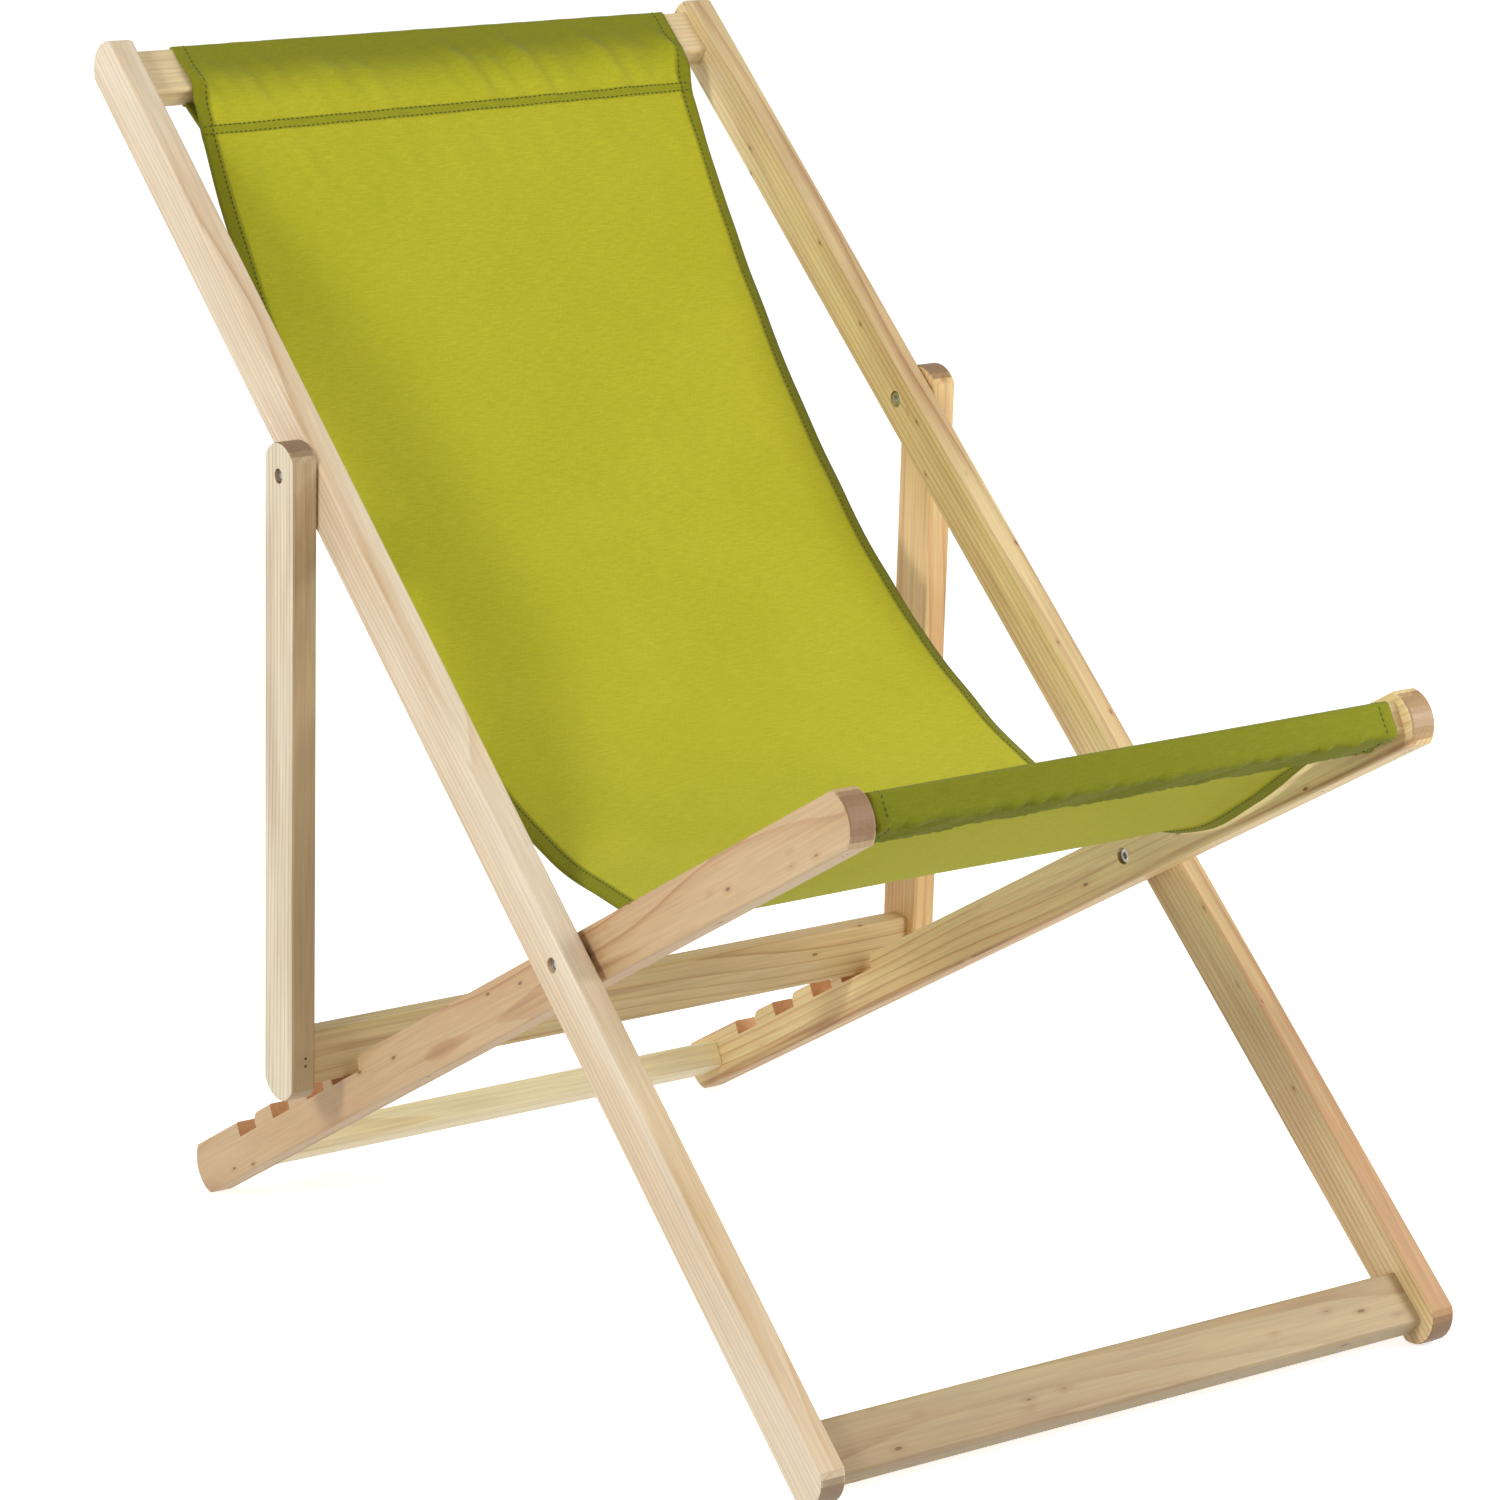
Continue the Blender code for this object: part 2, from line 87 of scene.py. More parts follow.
# Folds in the sling: (height, size across, size along, slant, seed)
TOP_SLEEVE_FOLDS = (0.0048, 0.018, 0.100, -0.55, 11.0)
SEAM_PUCKERS = (0.0014, 0.019, 0.080, -0.3, 5.0)
SHEET_WAVES = (0.0012, 0.24, 0.30, 0.3, 2.0)
EDGE_WAVES = (0.0011, 0.10, 0.055, 0.0, 8.0)
FLAP_FOLDS = (0.0024, 0.009, 0.070, 1.3, 3.0)
LEFT_CURL = (0.0055, 0.020)  # how far a side edge curls back, and over what width
RIGHT_CURL = (0.0035, 0.018)

# Painted shade where the cloth is doubled or lies on a bar, standing in for light through the open sheet: 0
# like the open sheet, 1 like the front sleeve
HEM_SHADE = 0.90
BAND_SHADE = 0.60
SLEEVE_SHADE = 0.88

# Stitching
STITCH_PITCH = 0.0042
STITCH_LENGTH = 0.0028
THREAD_RADIUS = 0.00048
THREAD_SIDES = 6
EDGE_TO_STITCH = 0.002  # from the sheet's side edge to the first stitch of a row across
SEAM_ROWS = (0.0012 - SEAM_BAND, -0.0012)  # from the top sleeve's seam
FRONT_ROWS = (-0.0075, -0.0015)  # from the front flap's seam
FACE_HEM_ROW = HEM_WIDTH - 0.0028  # from the side edge
BACK_HEM_ROW = HEM_WIDTH - 0.0020
BACK_ROW_MARGIN = 0.01
# One stitch: share of its length, then radius and height in thread radii
STITCH_PROFILE = ((0.0, 0.35, -0.5), (0.2, 0.9, 0.35), (0.5, 1.0, 0.6), (0.8, 0.9, 0.35), (1.0, 0.35, -0.5))

JOINTS = {joint["name"]: joint for joint in frame["joints"]}


def side_frame(origin, degrees):
    """Return two functions: (a, b) to (y, z), and (y, z) to (a, b)."""
    cos, sin = math.cos(math.radians(degrees)), math.sin(math.radians(degrees))

    def place(a, b):
        return origin[0] + a * cos - b * sin, origin[1] + a * sin + b * cos

    def read(y, z):
        dy, dz = y - origin[0], z - origin[1]
        return dy * cos + dz * sin, dz * cos - dy * sin

    return place, read


SEAT_PIVOT = JOINTS["seat_fold"]["pos_m"][1:]
LONG, READ_LONG = side_frame(SEAT_PIVOT, LONG_ANGLE)
SEAT, READ_SEAT = side_frame(SEAT_PIVOT, SEAT_ANGLE)


def section_of(node, read):
    """A cross rail's (a low, a high, b low, b high) in its frame."""
    pairs = [read(vertex.co.y, vertex.co.z) for vertex in nodes[node].data.vertices]
    a, b = zip(*pairs)
    return min(a), max(a), min(b), max(b)


def srgb(red, green, blue):
    """Display colour, 0 to 255, as a linear colour with alpha."""
    shares = [value / 255 for value in (red, green, blue)]
    linear = [s / 12.92 if s <= 0.04045 else ((s + 0.055) / 1.055) ** 2.4 for s in shares]
    return (*linear, 1.0)


# ---- shader nodes ----

def new_material(name):
    mat = bpy.data.materials.new(name)
    mat.use_nodes = True
    return mat, mat.node_tree, mat.node_tree.nodes["Principled BSDF"]


def put(tree, socket, value):
    """Link a socket into an input, or set the input's value."""
    if isinstance(value, bpy.types.NodeSocket):
        tree.links.new(value, socket)
    else:
        socket.default_value = value


def maths(tree, operation, first, second=0.0, clamp=False):
    made = tree.nodes.new("ShaderNodeMath")
    made.operation = operation
    made.use_clamp = clamp
    put(tree, made.inputs[0], first)
    put(tree, made.inputs[1], second)
    return made.outputs[0]


def remap(tree, value, low, high, to_low=0.0, to_high=1.0):
    made = tree.nodes.new("ShaderNodeMapRange")
    made.interpolation_type = "SMOOTHSTEP"
    put(tree, made.inputs["Value"], value)
    made.inputs["From Min"].default_value = low
    made.inputs["From Max"].default_value = high
    made.inputs["To Min"].default_value = to_low
    made.inputs["To Max"].default_value = to_high
    return made.outputs["Result"]


def mix(tree, factor, first, second, kind="MIX"):
    made = tree.nodes.new("ShaderNodeMix")
    made.data_type = "RGBA"
    made.blend_type = kind
    put(tree, made.inputs[0], factor)
    put(tree, made.inputs[6], first)
    put(tree, made.inputs[7], second)
    return made.outputs[2]


def mapped(tree, vector, location=(0, 0, 0), turn=(0, 0, 0), scale=(1, 1, 1)):
    made = tree.nodes.new("ShaderNodeMapping")
    put(tree, made.inputs["Vector"], vector)
    made.inputs["Location"].default_value = location
    made.inputs["Rotation"].default_value = turn
    made.inputs["Scale"].default_value = scale
    return made.outputs["Vector"]


def grain_noise(tree, vector, scale, detail=3.0, roughness=0.55):
    made = tree.nodes.new("ShaderNodeTexNoise")
    put(tree, made.inputs["Vector"], vector)
    made.inputs["Scale"].default_value = scale
    made.inputs["Detail"].default_value = detail
    made.inputs["Roughness"].default_value = roughness
    return made.outputs["Fac"]


def parts_of(tree, vector):
    """A vector's X, Y and Z sockets."""
    made = tree.nodes.new("ShaderNodeSeparateXYZ")
    tree.links.new(vector, made.inputs[0])
    return made.outputs


def grey_of(tree, value):
    """The same value in red, green and blue."""
    made = tree.nodes.new("ShaderNodeCombineColor")
    for k in range(3):
        tree.links.new(value, made.inputs[k])
    return made.outputs[0]


def bump(tree, shader, height, strength, distance):
    made = tree.nodes.new("ShaderNodeBump")
    made.inputs["Strength"].default_value = strength
    made.inputs["Distance"].default_value = distance
    put(tree, made.inputs["Height"], height)
    tree.links.new(made.outputs["Normal"], shader.inputs["Normal"])


# ---- wood ----

def wood(name, turn, tones, pith, seed, knots=0.0, streaks=0.5, edge_warmth=0.0):
    """Solid wood with growth rings round a pith line, fibres, streaks, knots and end grain.

    turn brings the rail's length onto the texture's Y axis; tones is (pale, warm, streak, end).
    """
    pale, warm, streak, end = tones
    mat, tree, shader = new_material(name)
    texture = tree.nodes.new("ShaderNodeTexCoord")
    turned = mapped(tree, texture.outputs["Object"], turn=turn)
    board = mapped(tree, turned, location=(seed * 0.37, seed * 1.91, seed * 0.53))
    place = parts_of(tree, turned)
    facing = parts_of(tree, mapped(tree, texture.outputs["Normal"], turn=turn))
    blotch = grain_noise(tree, mapped(tree, board, scale=(16.0, 2.2, 16.0)), 1.0, 3.0)
    fibre = grain_noise(tree, mapped(tree, board, scale=(520.0, 14.0, 520.0)), 1.0, 2.0)
    phase = ring_phase(tree, board, place, pith)
    late = remap(tree, phase, 0.45, 0.97)

    sideways = maths(tree, "ABSOLUTE", facing[0])
    edge = remap(tree, sideways, 0.45, 0.8, edge_warmth, 0.0)
    edge = maths(tree, "MULTIPLY", edge, remap(tree, place[1], *LOWER_BOARDS, 1.0, 0.2))
    tone = maths(tree, "ADD", remap(tree, blotch, 0.34, 0.66, 0.0, 0.60), maths(tree, "MULTIPLY", late, 0.34))
    tone = maths(tree, "ADD", tone, edge, True)
    colour = mix(tree, tone, pale, warm)
    colour = mix(tree, streak_mask(tree, board, streaks), colour, streak)
    colour = mix(tree, figure_mask(tree, phase, blotch), colour, streak)
    if knots:
        colour = add_knots(tree, board, knots, colour, warm)
    shade = remap(tree, fibre, 0.30, 0.70, 0.90, 1.05)
    colour = mix(tree, 1.0, colour, grey_of(tree, shade), "MULTIPLY")
    along = remap(tree, maths(tree, "ABSOLUTE", facing[1]), 0.55, 0.85, 0.0, 0.78)
    colour = mix(tree, along, colour, end_grain(tree, board, place, late, tones))
    tree.links.new(colour, shader.inputs["Base Color"])

    rough = remap(tree, fibre, 0.3, 0.7, 0.44, 0.60)
    tree.links.new(rough, shader.inputs["Roughness"])
    relief = maths(tree, "ADD", maths(tree, "MULTIPLY", fibre, 0.7), maths(tree, "MULTIPLY", late, 0.25))
    bump(tree, shader, relief, 0.22, 0.0006)
    return mat


def ring_phase(tree, board, place, pith):
    """0 to 1 across each growth ring; the rings bend slowly along the board."""
    drift = grain_noise(tree, mapped(tree, board, scale=(7.0, 1.3, 7.0)), 1.0, 2.0)
    across = maths(tree, "SUBTRACT", place[0], pith[0])
    depth = maths(tree, "SUBTRACT", place[2], pith[1])
    across_squared = maths(tree, "MULTIPLY", across, across)
    depth_squared = maths(tree, "MULTIPLY", depth, depth)
    radius = maths(tree, "SQRT", maths(tree, "ADD", across_squared, depth_squared))
    bent = maths(tree, "ADD", radius, maths(tree, "MULTIPLY", drift, RING_DRIFT))
    return maths(tree, "FRACT", maths(tree, "DIVIDE", bent, RING_WIDTH))


def streak_mask(tree, board, strength):
    """Long dark veins."""
    vein = grain_noise(tree, mapped(tree, board, scale=(62.0, 1.7, 62.0)), 1.0, 3.0, 0.6)
    return remap(tree, vein, 0.55, 0.76, 0.0, strength)


def figure_mask(tree, phase, blotch):
    """A thin line at the end of each ring, stronger in some patches."""
    line = maths(tree, "MULTIPLY", remap(tree, phase, 0.80, 0.97), remap(tree, phase, 1.0, 0.975))
    return maths(tree, "MULTIPLY", line, remap(tree, blotch, 0.42, 0.62, 0.08, 0.5))


def add_knots(tree, board, size, colour, warm):
    """Small pin knots with a warm halo."""
    cells = tree.nodes.new("ShaderNodeTexVoronoi")
    cells.inputs["Scale"].default_value = 1.0
    put(tree, cells.inputs["Vector"], mapped(tree, board, scale=(60.0, 24.0, 60.0)))
    distance = cells.outputs["Distance"]
    halo = remap(tree, distance, size * 2.6, size, 0.0, 0.6)
    core = remap(tree, distance, size, size * 0.6, 0.0, 0.75)
    colour = mix(tree, halo, colour, warm)
    return mix(tree, core, colour, KNOT_TONE)


def end_grain(tree, board, place, late, tones):
    """Porous grain on faces across the rail, darker towards the front ends."""
    _, warm, streak, end = tones
    pores = grain_noise(tree, board, 900.0, 2.0)
    colour = mix(tree, remap(tree, pores, 0.35, 0.65, 0.0, 0.45), end, streak)
    colour = mix(tree, maths(tree, "MULTIPLY", late, 0.4), colour, warm)
    front_end = remap(tree, place[1], *FRONT_ENDS, 0.8, 0.0)
    return mix(tree, front_end, colour, DARK_FRONT_END_TONE)


def turn_for(degrees):
    return (-math.radians(degrees), 0.0, 0.0)


def cross_turn(degrees):
    return (-math.radians(degrees), 0.0, math.pi / 2)


# Places along a board, on the texture's Y axis
LOWER_BOARDS = (-0.05, 0.30)  # warm edges fade over this stretch, from the foot upwards
FRONT_ENDS = (-0.30, -0.20)  # end grain beyond this place is darker
RING_WIDTH = 0.0046
RING_DRIFT = 0.034
KNOT_TONE = srgb(104, 66, 42)
DARK_FRONT_END_TONE = srgb(96, 72, 48)

# Tones of a board: pale, warm, streak, end grain
PALE_TONES = (srgb(236, 221, 194), srgb(216, 186, 146), srgb(186, 146, 98), srgb(186, 146, 106))
INNER_TONES = (srgb(238, 216, 160), srgb(186, 144, 100), srgb(168, 120, 74), srgb(190, 145, 102))
RED_TONES = (srgb(210, 181, 138), srgb(196, 154, 108), srgb(156, 98, 58), srgb(216, 146, 98))
RED_FAR_TONES = (srgb(242, 222, 162), srgb(226, 184, 124), srgb(162, 100, 58), srgb(226, 150, 100))
HONEY_TONES = (srgb(232, 210, 164), srgb(212, 178, 124), srgb(166, 122, 74), srgb(182, 142, 102))
REAR_TONES = (srgb(254, 240, 198), srgb(242, 214, 158), srgb(190, 146, 94), srgb(196, 156, 116))
BAR_TONES = (srgb(220, 196, 148), srgb(202, 168, 114), srgb(160, 114, 68), srgb(180, 138, 98))
FOOT_TONES = (srgb(184, 162, 123), srgb(166, 137, 97), srgb(146, 106, 64), srgb(166, 128, 92))
PROP_TONES = (srgb(238, 226, 198), srgb(180, 152, 112), srgb(186, 146, 98), srgb(182, 152, 120))
ORANGE_TONES = (srgb(232, 200, 140), srgb(214, 162, 104), srgb(168, 104, 62), srgb(170, 126, 94))


def dress_wood():
    # node, turn, tones, pith (x, depth), seed, knot size, streaks, warmth of the narrow faces
    plans = (
        ("left_long_rail", turn_for(LONG_ANGLE), PALE_TONES, (-0.20, 0.10), 1.3, 0.0, 0.4, 0.35),
        ("right_long_rail", turn_for(LONG_ANGLE), INNER_TONES, (0.20, 0.16), 4.1, 0.06, 0.6, 0.65),
        ("left_seat_rail", turn_for(SEAT_ANGLE), RED_TONES, (-0.17, 0.20), 2.2, 0.09, 0.8, 0.1),
        ("right_seat_rail", turn_for(SEAT_ANGLE), RED_FAR_TONES, (0.30, 0.14), 7.7, 0.09, 0.8, 0.1),
        ("left_prop_leg", turn_for(PROP_ANGLE), PROP_TONES, (-0.21, 0.02), 5.6, 0.0, 0.3, 0.85),
        ("right_prop_leg", turn_for(PROP_ANGLE), ORANGE_TONES, (0.33, 0.05), 3.4, 0.0, 0.8, 0.1),
        ("top_cross_rail", cross_turn(LONG_ANGLE), HONEY_TONES, (0.1, 0.1), 6.3, 0.0, 0.4),
        ("foot_cross_rail", cross_turn(LONG_ANGLE), FOOT_TONES, (0.25, 0.12), 8.8, 0.10, 0.8),
        ("front_sling_bar", cross_turn(SEAT_ANGLE), HONEY_TONES, (0.1, 0.2), 9.2, 0.0, 0.4),
        ("rear_floor_bar", cross_turn(SEAT_ANGLE), REAR_TONES, (0.3, 0.15), 2.9, 0.06, 0.5),
        ("prop_cross_bar", cross_turn(PROP_ANGLE), BAR_TONES, (0.2, 0.1), 3.8, 0.08, 0.7),
    )
    for node, *plan in plans:
        dress(node, wood(node + "_wood", *plan))


def dress(node, mat):
    for slot in nodes[node].material_slots:
        slot.material = mat


# ---- metal ----

def steel(name, colour, roughness):
    """Plated steel with fine turning marks and slight stains."""
    mat, tree, shader = new_material(name)
    texture = tree.nodes.new("ShaderNodeTexCoord")
    shader.inputs["Metallic"].default_value = 1.0
    stain = grain_noise(tree, texture.outputs["Object"], 420.0, 3.0)
    darker = tuple(c * 0.62 for c in colour[:3]) + (1.0,)
    tree.links.new(mix(tree, remap(tree, stain, 0.4, 0.7), colour, darker), shader.inputs["Base Color"])
    scratch = grain_noise(tree, mapped(tree, texture.outputs["Object"], scale=(300.0, 2400.0, 2400.0)), 1.0)
    rough = remap(tree, scratch, 0.3, 0.7, roughness - 0.08, roughness + 0.12)
    tree.links.new(rough, shader.inputs["Roughness"])
    bump(tree, shader, scratch, 0.15, 0.0001)
    return mat


def dress_metal():
    zinc = steel("zinc_steel", srgb(205, 205, 206), 0.32)
    dark = steel("dark_steel", srgb(120, 120, 122), 0.45)
    nail = steel("nail_steel", srgb(78, 72, 68), 0.5)
    for name in nodes:
        if "nail" in name:
            dress(name, nail)
        elif "spacer" in name or "washer" in name:
            dress(name, dark)
        elif "bolt" in name or "nut" in name:
            dress(name, zinc)


# ---- canvas ----

OPEN_TONES = (srgb(191, 187, 44), srgb(186, 183, 39))
# Painted shade for cloth that lies double or on a bar
BACKED_PAINTED_SHADE = srgb(128, 130, 20)
THREAD_TONE = srgb(84, 92, 18)
WEAVE_SCALE = 420.0


def canvas(name):
    """Plain-woven canvas: warp and weft threads, slubs, and painted shade where it is doubled or lies on a
    bar, standing in for light that comes through a single layer.
    """
    mat, tree, shader = new_material(name)
    uv = tree.nodes.new("ShaderNodeUVMap")
    uv.uv_map = "cloth"
    # Painted shade, read from the sling's own attribute
    painted_backing_shade = tree.nodes.new("ShaderNodeAttribute")
    painted_backing_shade.attribute_name = "painted_backing_shade"

    cloth = uv.outputs["UV"]
    weave = maths(tree, "MULTIPLY", thread_wave(tree, cloth, "X"), thread_wave(tree, cloth, "Y"))
    slub_along = grain_noise(tree, mapped(tree, cloth, scale=(1500.0, 260.0, 1.0)), 1.0, 2.0)
    slub_across = grain_noise(tree, mapped(tree, cloth, scale=(90.0, 800.0, 1.0)), 1.0, 2.0)
    slub = maths(tree, "ADD", slub_along, slub_across)
    cloud = grain_noise(tree, mapped(tree, cloth, scale=(6.0, 6.0, 1.0)), 1.0, 3.0)

    open_tone = mix(tree, remap(tree, cloud, 0.35, 0.65), *OPEN_TONES)
    colour = mix(tree, painted_backing_shade.outputs["Fac"], open_tone, BACKED_PAINTED_SHADE)
    lit = remap(tree, slub, 0.75, 1.25, 0.91, 1.07)
    dip = maths(tree, "MULTIPLY_ADD", weave, 0.14)
    dip.node.inputs[2].default_value = 0.93
    shade = maths(tree, "MULTIPLY", lit, dip)
    colour = mix(tree, 1.0, colour, grey_of(tree, shade), "MULTIPLY")
    tree.links.new(colour, shader.inputs["Base Color"])
    shader.inputs["Roughness"].default_value = 0.86
    shader.inputs["Sheen Weight"].default_value = 0.06
    shader.inputs["Sheen Roughness"].default_value = 0.5
    shader.inputs["Specular IOR Level"].default_value = 0.15
    height = maths(tree, "ADD", maths(tree, "MULTIPLY", weave, 0.6), maths(tree, "MULTIPLY", slub, 0.5))
    bump(tree, shader, height, 0.55, 0.00035)
    return mat


def thread_wave(tree, uv, axis):
    made = tree.nodes.new("ShaderNodeTexWave")
    made.wave_type = "BANDS"
    made.bands_direction = axis
    made.wave_profile = "SIN"
    made.inputs["Scale"].default_value = 1.0
    put(tree, made.inputs["Vector"], mapped(tree, uv, scale=(WEAVE_SCALE, WEAVE_SCALE, 1.0)))
    return made.outputs["Fac"]


def thread(name, colour):
    """Twisted sewing thread."""
    mat, tree, shader = new_material(name)
    texture = tree.nodes.new("ShaderNodeTexCoord")
    twist = grain_noise(tree, texture.outputs["Object"], 2600.0, 2.0)
    darker = tuple(c * 0.7 for c in colour[:3]) + (1.0,)
    tree.links.new(mix(tree, remap(tree, twist, 0.35, 0.65), colour, darker), shader.inputs["Base Color"])
    shader.inputs["Roughness"].default_value = 0.7
    bump(tree, shader, twist, 0.4, 0.0002)
    return mat


# ---- sling path ----

def bezier(p0, p1, p2, p3, count):
    points = []
    for k in range(count + 1):
        t = k / count
        weights = ((1 - t) ** 3, 3 * (1 - t) ** 2 * t, 3 * (1 - t) * t * t, t ** 3)
        points.append(tuple(
            sum(w * p[axis] for w, p in zip(weights, (p0, p1, p2, p3))) for axis in (0, 1)
        ))
    return points


def toward(point, degrees, distance):
    angle = math.radians(degrees)
    return point[0] + distance * math.cos(angle), point[1] + distance * math.sin(angle)


def bar_turn(place, a, b, start, end, steps=8):
    """Fabric path round one corner of a bar; a and b are the corner, angles are in the frame."""
    middle = math.radians((start + end) / 2)
    inner_a = a - math.copysign(BAR_CORNER, math.cos(middle))
    inner_b = b - math.copysign(BAR_CORNER, math.sin(middle))
    points = []
    for k in range(steps + 1):
        angle = math.radians(start + (end - start) * k / steps)
        points.append(place(
            inner_a + (BAR_CORNER + WRAP) * math.cos(angle),
            inner_b + (BAR_CORNER + WRAP) * math.sin(angle),
        ))
    return points


def fill_in(points):
    """Add points along the straight runs, closer together near the top seam."""
    filled = [points[0]]
    seam = LONG(*SEAM)
    for start, end in zip(points, points[1:]):
        near = min(math.dist(seam, start), math.dist(seam, end)) < NEAR_SEAM
        count = max(1, math.ceil(math.dist(start, end) / (SEAM_STEP if near else STEP_ALONG)))
        filled += [
            (start[0] + (end[0] - start[0]) * k / count, start[1] + (end[1] - start[1]) * k / count)
            for k in range(1, count + 1)
        ]
    return filled


def sling_runs():
    """The fabric's path in four runs: top sleeve, open sheet, front sleeve, front flap."""
    a0, a1, b0, b1 = section_of("top_cross_rail", READ_LONG)
    seam = LONG(*SEAM)
    behind = LONG(SEAM[0] - SEAM_LAP[0], SEAM[1] - SEAM_LAP[1])
    sleeve = [behind, toward(behind, LEAVE_ANGLE - 180 + SLEEVE_OPENING, SEAM_BAND)]
    sleeve += bar_turn(LONG, a0, b0, 200, 270)
    sleeve += bar_turn(LONG, a1, b0, 270, 360)
    sleeve += bar_turn(LONG, a1, b1, 0, 90)
    sleeve += bar_turn(LONG, a0, b1, 90, 118, 3)
    a0, a1, b0, b1 = section_of("front_sling_bar", READ_SEAT)
    front_seam = SEAT(a1 + FLAP, SHEET_END_HEIGHT)
    sag = (SEAT_PIVOT[0] + SAG_BEHIND_PIVOT, SAG_HEIGHT)
    sheet = bezier(seam, toward(seam, LEAVE_ANGLE, BACK_PULL[0]), (sag[0] + BACK_PULL[1], sag[1]), sag, 150)
    before_seam = toward(front_seam, SEAT_RISE, SEAT_PULL)
    sheet += bezier(sag, (sag[0] - SEAT_PULL, sag[1]), before_seam, front_seam, 50)[1:]
    front = bar_turn(SEAT, a1, b1, 74, 90, 2)
    front += bar_turn(SEAT, a0, b1, 90, 180)
    front += bar_turn(SEAT, a0, b0, 180, 270)
    front += bar_turn(SEAT, a1, b0, 270, 286, 2)
    flap_end = SEAT(a1 + FLAP, FLAP_END_HEIGHT)
    return sleeve, sheet, front, [flap_end]


class Cloth:
    """The sling as a grid: middle points, face normals, length along the path, and the painted shade where it
    lies double or on a bar.
    """

    def __init__(self):
        sleeve, sheet, front, flap = sling_runs()
        top = fill_in(sleeve + sheet[:1])
        middle = fill_in(sheet)[1:]
        rest = fill_in(sheet[-1:] + front + flap)[1:]
        line = np.array(top + middle + rest)
        steps = np.hypot(*np.diff(line, axis=0).T)
        length = np.concatenate([[0.0], np.cumsum(steps)])
        self.seam_row = len(top) - 1
        self.front_seam_row = len(top) + len(middle) - 1
        self.along = length - length[self.seam_row]
        self.line = line
        tangent = np.gradient(line, axis=0)
        tangent /= np.hypot(*tangent.T)[:, None]
        self.face = np.column_stack([tangent[:, 1], -tangent[:, 0]])
        self.share = across_shares()
        left = np.interp(self.along, *zip(*LEFT_EDGE))
        right = np.interp(self.along, *zip(*RIGHT_EDGE))
        self.x = left[:, None] + (right - left)[:, None] * self.share[None, :]
        self.from_left = self.x - left[:, None]
        self.from_right = right[:, None] - self.x
        self.shape()

    def shape(self):
        """Place every grid point, wrinkles and curled hems included."""
        lift = self.relief()
        y = self.line[:, None, 0] + self.face[:, None, 0] * lift
        z = self.line[:, None, 1] + self.face[:, None, 1] * lift
        self.points = np.stack([self.x, y, z], axis=2)
        down = np.gradient(self.points, axis=0)
        over = np.gradient(self.points, axis=1)
        normal = np.cross(down, over)
        normal /= np.linalg.norm(normal, axis=2)[:, :, None]
        agreement = normal[:, :, 1] * self.face[:, None, 0] + normal[:, :, 2] * self.face[:, None, 1]
        self.normal = normal * np.sign(agreement.mean())

    def relief(self):
        """Height of the wrinkles, and of the hems' curl, along the face normal."""
        along = self.along[:, None] + 0 * self.x
        end = self.along[self.front_seam_row]
        open_sheet = smooth(along, 0.0, 0.06) * smooth(end - along, 0.0, 0.05)
        lift = bell(along, -0.034, 0.026) * ridges(self.x, along, TOP_SLEEVE_FOLDS)
        puckered = 0.45 * bell(along, 0.0, 0.012) + bell(along, 0.032, 0.022)
        lift += puckered * ridges(self.x, along, SEAM_PUCKERS)
        lift += open_sheet * waves(self.x, along, SHEET_WAVES)
        by_edge = bell(np.minimum(self.from_left, self.from_right), 0.0, 0.030)
        lift += open_sheet * by_edge * waves(self.x, along, EDGE_WAVES)
        under = smooth(along, end + 0.100, end + 0.108) * (1 - 0.8 * smooth(along, end + 0.136, end + 0.150))
        lift += under * ridges(self.x, along, FLAP_FOLDS)
        for distance, (depth, width) in ((self.from_left, LEFT_CURL), (self.from_right, RIGHT_CURL)):
            lift -= open_sheet * depth * np.clip(1 - distance / width, 0, 1) ** 2
        return lift

    def backs(self):
        """Thickness behind the middle surface: the folded hems are thicker."""
        hem = (np.minimum(self.from_left, self.from_right) < HEM_WIDTH - 1e-6) * 1.0
        return HALF_SHEET + HEM_EXTRA * hem

    def painted_backing_shade(self):
        """Painted shade: 1 where the cloth lies double or on a bar, 0 where light comes through it."""
        hem = 1 - smooth(np.minimum(self.from_left, self.from_right), HEM_WIDTH - 0.0015, HEM_WIDTH + 0.0005)
        along = self.along[:, None]
        end = self.along[self.front_seam_row]
        below = along - self.seam_tilt()
        band = smooth(below, -SEAM_BAND, 0.0006 - SEAM_BAND) * (1 - smooth(below, -0.0002, 0.0006))
        sleeve = SLEEVE_SHADE * (1 - smooth(along, -0.062, -0.018))
        front = smooth(along, end - 0.004, end - 0.001)
        return np.maximum(np.maximum(HEM_SHADE * hem, BAND_SHADE * band), np.maximum(sleeve, front))

    def seam_tilt(self):
        """How far the seam lies from its height at the left edge."""
        return -SEAM_RISE * self.share[None, :]


def smooth(value, low, high):
    t = np.clip((value - low) / (high - low), 0, 1)
    return t * t * (3 - 2 * t)


def bell(value, centre, width):
    return np.exp(-(((value - centre) / width) ** 2))


def waves(x, along, fold):
    """Soft noise, about the fold's height either way; slant leans it."""
    height, size_x, size_along, slant, seed = fold
    made = np.empty(x.shape)
    for index in np.ndindex(x.shape):
        u, s = x[index], along[index]
        made[index] = noise.noise(Vector(((u + slant * s) / size_x, s / size_along, seed)))
    return 2 * height * made


def ridges(x, along, fold):
    """Soft folds that only ever stand outwards."""
    height = fold[0]
    return np.clip(0.5 * height + 0.9 * waves(x, along, fold), 0, 1.3 * height)


def across_shares():
    """Grid columns from one side edge to the other, with close ones at the hems' inner edges."""
    width = RIGHT_EDGE[0][1] - LEFT_EDGE[0][1]
    hem = HEM_WIDTH / width
    close = 0.0007 / width
    edges = [0.0, 0.25 * hem, 0.5 * hem, 0.75 * hem, hem - close, hem + close]
    middle = np.linspace(edges[-1], 1 - edges[-1], round(width / STEP_ACROSS))
    return np.concatenate([edges[:-1], middle, [1 - e for e in edges[-2::-1]]])


